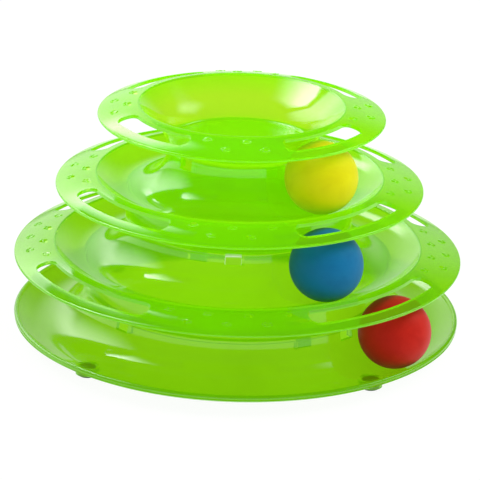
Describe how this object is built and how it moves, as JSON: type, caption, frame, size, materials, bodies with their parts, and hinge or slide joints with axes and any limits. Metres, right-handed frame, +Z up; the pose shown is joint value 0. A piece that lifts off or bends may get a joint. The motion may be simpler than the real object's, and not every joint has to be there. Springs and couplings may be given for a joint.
{
  "type": "cat ball track toy",
  "caption": "Round cat toy tower: a tray and stacked umbrella-shaped rings of clear green plastic that twist together, with a ball running in each track.",
  "frame": {"origin": "on the floor under the tower's axis, at the height of the rubber pads' undersides", "axes": "+Z up along the tower's axis, -Y towards the front, +X to the right of someone facing the front"},
  "size_m": [0.25, 0.25, 0.1335],
  "materials": {
    "green_shell": "clear tinted gloss",
    "black_rubber": "matte",
    "red_plastic": "fine matte",
    "blue_plastic": "fine matte",
    "yellow_plastic": "fine matte"
  },
  "bodies": {
    "base": {"base_tray": "green_shell", "foot_front_right": "black_rubber", "foot_back_right": "black_rubber", "foot_back_left": "black_rubber", "foot_front_left": "black_rubber"},
    "lower_ring": {"lower_ring": "green_shell"},
    "middle_ring": {"middle_ring": "green_shell"},
    "top_ring": {"top_ring": "green_shell"},
    "red_ball": {"red_ball": "red_plastic"},
    "blue_ball": {"blue_ball": "blue_plastic"},
    "yellow_ball": {"yellow_ball": "yellow_plastic"}
  },
  "joints": [
    {"name": "lower_ring_twist", "type": "hinge", "parent": "base", "child": "lower_ring", "pos_m": [0, 0, 0.0272], "axis": [0, 0, 1], "range_deg": [0, 18]},
    {"name": "middle_ring_twist", "type": "hinge", "parent": "lower_ring", "child": "middle_ring", "pos_m": [0, 0, 0.06847], "axis": [0, 0, 1], "range_deg": [0, 18]},
    {"name": "top_ring_twist", "type": "hinge", "parent": "middle_ring", "child": "top_ring", "pos_m": [0, 0, 0.10965], "axis": [0, 0, 1], "range_deg": [0, 18]},
    {"name": "red_ball_run", "type": "hinge", "parent": "base", "child": "red_ball", "pos_m": [0, 0, 0.0263], "axis": [0, 0, 1], "continuous": true},
    {"name": "blue_ball_run", "type": "hinge", "parent": "lower_ring", "child": "blue_ball", "pos_m": [0, 0, 0.06657], "axis": [0, 0, 1], "continuous": true},
    {"name": "yellow_ball_run", "type": "hinge", "parent": "middle_ring", "child": "yellow_ball", "pos_m": [0, 0, 0.10685], "axis": [0, 0, 1], "continuous": true}
  ]
}
